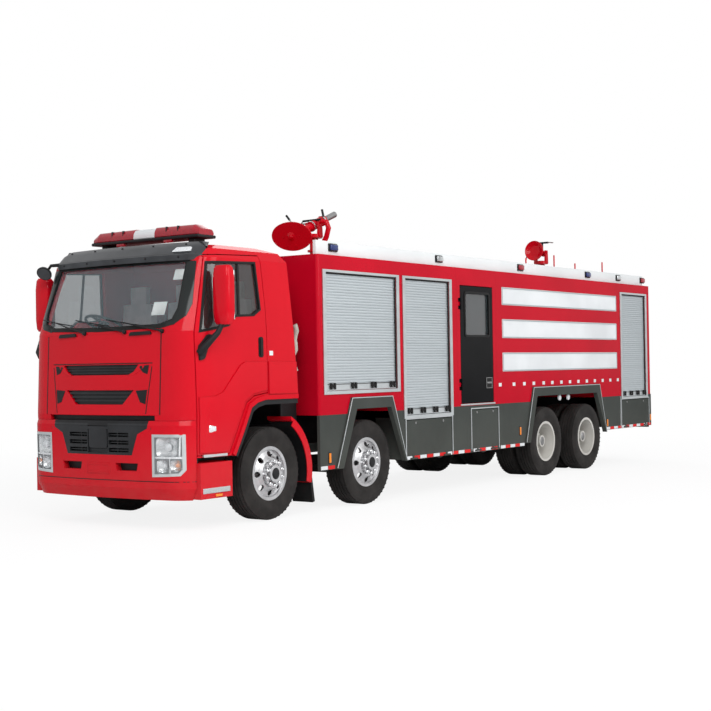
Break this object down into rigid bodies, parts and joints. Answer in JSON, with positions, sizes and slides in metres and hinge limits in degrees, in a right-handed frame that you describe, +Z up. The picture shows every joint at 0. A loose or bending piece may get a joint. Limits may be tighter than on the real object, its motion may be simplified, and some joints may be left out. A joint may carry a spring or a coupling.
{
  "type": "fire tanker truck",
  "caption": "Long cab-over fire tanker truck with steered front axles, twin rear wheels, a box body with lockers and roof monitors.",
  "frame": {"origin": "on the ground under the middle of the truck", "axes": "+X forwards along the truck, +Y to its left, +Z up"},
  "size_m": [11.7984, 2.92, 3.7069],
  "materials": {
    "tyre": "matt",
    "rim_steel": "satin",
    "chassis_steel": "satin",
    "engine": "matt",
    "tank_metal": "satin",
    "red_paint": "gloss",
    "grey_paint": "satin",
    "white_paint": "gloss",
    "black_paint": "satin",
    "aluminium": "satin",
    "shutter_aluminium": "satin",
    "glass": "clear",
    "lamp_lens": "gloss",
    "red_lens": "gloss",
    "dark_plastic": "matt",
    "visor_plastic": "satin",
    "seat_cover": "matt"
  },
  "bodies": {
    "truck": {"arch_trims": "grey_paint", "axles": "chassis_steel", "body_shell": "red_paint", "body_skirts": "grey_paint", "cab_seats": "seat_cover", "cab_shell": "red_paint", "cab_steps": "red_paint", "chassis_frame": "chassis_steel", "chassis_tanks": "tank_metal", "dashboard": "dark_plastic", "engine_block": "engine", "front_bumper": "red_paint", "front_grilles": "dark_plastic", "front_panel": "red_paint", "lamps": "lamp_lens", "leaf_springs": "chassis_steel", "light_bar": "red_lens", "monitor_risers": "red_paint", "rear_ladder": "aluminium", "roller_shutters": "shutter_aluminium", "roof_parapet": "white_paint", "shutter_frames": "aluminium", "sun_visor": "visor_plastic", "windscreen": "glass"},
    "wheel_1_left": {"tyre_1_left": "tyre", "rim_1_left": "rim_steel"},
    "steering_1_left": {"knuckle_1_left": "chassis_steel"},
    "wheel_1_right": {"tyre_1_right": "tyre", "rim_1_right": "rim_steel"},
    "steering_1_right": {"knuckle_1_right": "chassis_steel"},
    "wheel_2_left": {"tyre_2_left": "tyre", "rim_2_left": "rim_steel"},
    "steering_2_left": {"knuckle_2_left": "chassis_steel"},
    "wheel_2_right": {"tyre_2_right": "tyre", "rim_2_right": "rim_steel"},
    "steering_2_right": {"knuckle_2_right": "chassis_steel"},
    "wheel_3_left": {"tyre_3_left": "tyre", "rim_3_left": "rim_steel"},
    "wheel_3_right": {"tyre_3_right": "tyre", "rim_3_right": "rim_steel"},
    "wheel_4_left": {"tyre_4_left": "tyre", "rim_4_left": "rim_steel"},
    "wheel_4_right": {"tyre_4_right": "tyre", "rim_4_right": "rim_steel"},
    "cab_door_left": {"cab_door_left": "red_paint", "mirror_left": "red_paint"},
    "pump_door_left": {"pump_door_left": "black_paint"},
    "locker_flap_1_left": {"locker_flap_1_left": "grey_paint"},
    "locker_flap_2_left": {"locker_flap_2_left": "grey_paint"},
    "locker_flap_3_left": {"locker_flap_3_left": "grey_paint"},
    "cab_door_right": {"cab_door_right": "red_paint", "mirror_right": "red_paint"},
    "pump_door_right": {"pump_door_right": "black_paint"},
    "locker_flap_1_right": {"locker_flap_1_right": "grey_paint"},
    "locker_flap_2_right": {"locker_flap_2_right": "grey_paint"},
    "locker_flap_3_right": {"locker_flap_3_right": "grey_paint"},
    "monitor_front_head": {"monitor_head_front": "black_paint"},
    "monitor_front_barrel": {"monitor_barrel_front": "red_paint"},
    "monitor_rear_head": {"monitor_head_rear": "black_paint"},
    "monitor_rear_barrel": {"monitor_barrel_rear": "red_paint"}
  },
  "joints": [
    {"name": "steer_1_left", "type": "hinge", "parent": "truck", "child": "steering_1_left", "pos_m": [4.45, 0.9, 0.51], "axis": [0, 0, 1], "range_deg": [-32, 32]},
    {"name": "roll_1_left", "type": "hinge", "parent": "steering_1_left", "child": "wheel_1_left", "pos_m": [4.45, 1.037, 0.51], "axis": [0, 1, 0], "continuous": true},
    {"name": "steer_1_right", "type": "hinge", "parent": "truck", "child": "steering_1_right", "pos_m": [4.45, -0.9, 0.51], "axis": [0, 0, 1], "range_deg": [-32, 32]},
    {"name": "roll_1_right", "type": "hinge", "parent": "steering_1_right", "child": "wheel_1_right", "pos_m": [4.45, -1.037, 0.51], "axis": [0, 1, 0], "continuous": true},
    {"name": "steer_2_left", "type": "hinge", "parent": "truck", "child": "steering_2_left", "pos_m": [2.6, 0.9, 0.51], "axis": [0, 0, 1], "range_deg": [-24, 24]},
    {"name": "roll_2_left", "type": "hinge", "parent": "steering_2_left", "child": "wheel_2_left", "pos_m": [2.6, 1.037, 0.51], "axis": [0, 1, 0], "continuous": true},
    {"name": "steer_2_right", "type": "hinge", "parent": "truck", "child": "steering_2_right", "pos_m": [2.6, -0.9, 0.51], "axis": [0, 0, 1], "range_deg": [-24, 24]},
    {"name": "roll_2_right", "type": "hinge", "parent": "steering_2_right", "child": "wheel_2_right", "pos_m": [2.6, -1.037, 0.51], "axis": [0, 1, 0], "continuous": true},
    {"name": "roll_3_left", "type": "hinge", "parent": "truck", "child": "wheel_3_left", "pos_m": [-1.975, 0.925, 0.51], "axis": [0, 1, 0], "continuous": true},
    {"name": "roll_3_right", "type": "hinge", "parent": "truck", "child": "wheel_3_right", "pos_m": [-1.975, -0.925, 0.51], "axis": [0, 1, 0], "continuous": true},
    {"name": "roll_4_left", "type": "hinge", "parent": "truck", "child": "wheel_4_left", "pos_m": [-3.345, 0.925, 0.51], "axis": [0, 1, 0], "continuous": true},
    {"name": "roll_4_right", "type": "hinge", "parent": "truck", "child": "wheel_4_right", "pos_m": [-3.345, -0.925, 0.51], "axis": [0, 1, 0], "continuous": true},
    {"name": "open_cab_door_left", "type": "hinge", "parent": "truck", "child": "cab_door_left", "pos_m": [5.625, 1.178, 0.8], "axis": [0, 0, -1], "range_deg": [0, 75]},
    {"name": "open_pump_door_left", "type": "hinge", "parent": "truck", "child": "pump_door_left", "pos_m": [0.5, 1.264, 1.9], "axis": [0, 0, -1], "range_deg": [0, 95]},
    {"name": "lower_locker_flap_1_left", "type": "hinge", "parent": "truck", "child": "locker_flap_1_left", "pos_m": [1.3, 1.264, 0.495], "axis": [-1, 0, 0], "range_deg": [0, 90]},
    {"name": "lower_locker_flap_2_left", "type": "hinge", "parent": "truck", "child": "locker_flap_2_left", "pos_m": [-0.125, 1.264, 0.505], "axis": [-1, 0, 0], "range_deg": [0, 90]},
    {"name": "lower_locker_flap_3_left", "type": "hinge", "parent": "truck", "child": "locker_flap_3_left", "pos_m": [-5.18, 1.264, 0.6], "axis": [-1, 0, 0], "range_deg": [0, 90]},
    {"name": "open_cab_door_right", "type": "hinge", "parent": "truck", "child": "cab_door_right", "pos_m": [5.625, -1.178, 0.8], "axis": [0, 0, 1], "range_deg": [0, 75]},
    {"name": "open_pump_door_right", "type": "hinge", "parent": "truck", "child": "pump_door_right", "pos_m": [0.5, -1.264, 1.9], "axis": [0, 0, 1], "range_deg": [0, 95]},
    {"name": "lower_locker_flap_1_right", "type": "hinge", "parent": "truck", "child": "locker_flap_1_right", "pos_m": [1.3, -1.264, 0.495], "axis": [1, 0, 0], "range_deg": [0, 90]},
    {"name": "lower_locker_flap_2_right", "type": "hinge", "parent": "truck", "child": "locker_flap_2_right", "pos_m": [-0.125, -1.264, 0.505], "axis": [1, 0, 0], "range_deg": [0, 90]},
    {"name": "lower_locker_flap_3_right", "type": "hinge", "parent": "truck", "child": "locker_flap_3_right", "pos_m": [-5.18, -1.264, 0.6], "axis": [1, 0, 0], "range_deg": [0, 90]},
    {"name": "slew_monitor_front", "type": "hinge", "parent": "truck", "child": "monitor_front_head", "pos_m": [2.05, 0, 3.33], "axis": [0, 0, 1], "range_deg": [-170, 170]},
    {"name": "tilt_monitor_front", "type": "hinge", "parent": "monitor_front_head", "child": "monitor_front_barrel", "pos_m": [2.05, 0, 3.5], "axis": [0, -1, 0], "range_deg": [-5, 40]},
    {"name": "slew_monitor_rear", "type": "hinge", "parent": "truck", "child": "monitor_rear_head", "pos_m": [-4.27, 0, 3.33], "axis": [0, 0, 1], "range_deg": [-170, 170]},
    {"name": "tilt_monitor_rear", "type": "hinge", "parent": "monitor_rear_head", "child": "monitor_rear_barrel", "pos_m": [-4.27, 0, 3.52], "axis": [0, -1, 0], "range_deg": [-10, 45]}
  ],
  "couplings": [
    {"joint": "steer_1_right", "follows": "steer_1_left", "ratio": 1},
    {"joint": "steer_2_left", "follows": "steer_1_left", "ratio": 0.74},
    {"joint": "steer_2_right", "follows": "steer_1_left", "ratio": 0.74}
  ]
}
